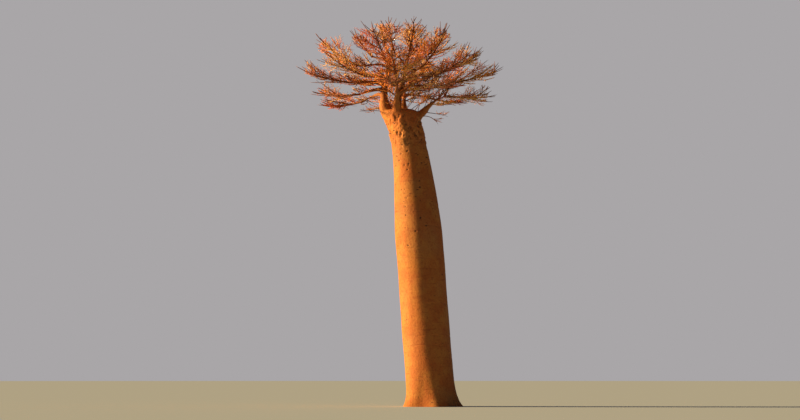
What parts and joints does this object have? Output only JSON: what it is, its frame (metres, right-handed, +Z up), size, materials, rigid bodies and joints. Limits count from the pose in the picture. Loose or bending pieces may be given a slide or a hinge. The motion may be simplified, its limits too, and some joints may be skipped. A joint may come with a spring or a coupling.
{
  "type": "bare baobab tree",
  "caption": "Whole leafless baobab: a tall smooth column of a trunk with a slight lean, crowned by a flat spreading dome of boughs and twigs.",
  "frame": {"origin": "middle of the flat cut under the trunk, at ground level", "axes": "+Z up; the tree is seen from -Y, and +X is its right-hand side; the trunk leans towards -X"},
  "size_m": [12.1842, 11.3792, 22.5903],
  "materials": {
    "bark": "matt smooth bark, warm tan",
    "twig_bark": "matt bare twigs, reddish tan"
  },
  "bodies": {
    "root": {"back_arm": "bark", "bough_high_1": "bark", "bough_high_2": "bark", "bough_high_3": "bark", "bough_high_4": "bark", "bough_high_5": "bark", "bough_high_6": "bark", "bough_low_1": "bark", "bough_low_2": "bark", "bough_low_3": "bark", "bough_low_5": "bark", "bough_low_6": "bark", "bough_low_7": "bark", "bough_middle_1": "bark", "bough_middle_2": "bark", "bough_middle_4": "bark", "bough_middle_5": "bark", "bough_middle_6": "bark", "bough_middle_8": "bark", "bough_steep_2": "bark", "bough_upper_1": "bark", "bough_upper_2": "bark", "bough_upper_3": "bark", "bough_upper_4": "bark", "front_arm": "bark", "left_leader": "bark", "right_arm": "bark", "right_leader": "bark", "trunk": "bark", "twigs_high_1": "twig_bark", "twigs_high_2": "twig_bark", "twigs_high_3": "twig_bark", "twigs_high_4": "twig_bark", "twigs_high_5": "twig_bark", "twigs_high_6": "twig_bark", "twigs_low_1": "twig_bark", "twigs_low_2": "twig_bark", "twigs_low_3": "twig_bark", "twigs_low_4": "twig_bark", "twigs_low_5": "twig_bark", "twigs_low_6": "twig_bark", "twigs_low_7": "twig_bark", "twigs_middle_1": "twig_bark", "twigs_middle_2": "twig_bark", "twigs_middle_3": "twig_bark", "twigs_middle_4": "twig_bark", "twigs_middle_5": "twig_bark", "twigs_middle_6": "twig_bark", "twigs_middle_7": "twig_bark", "twigs_middle_8": "twig_bark", "twigs_steep_1": "twig_bark", "twigs_steep_2": "twig_bark", "twigs_steep_3": "twig_bark", "twigs_upper_1": "twig_bark", "twigs_upper_2": "twig_bark", "twigs_upper_3": "twig_bark", "twigs_upper_4": "twig_bark"}
  },
  "joints": []
}
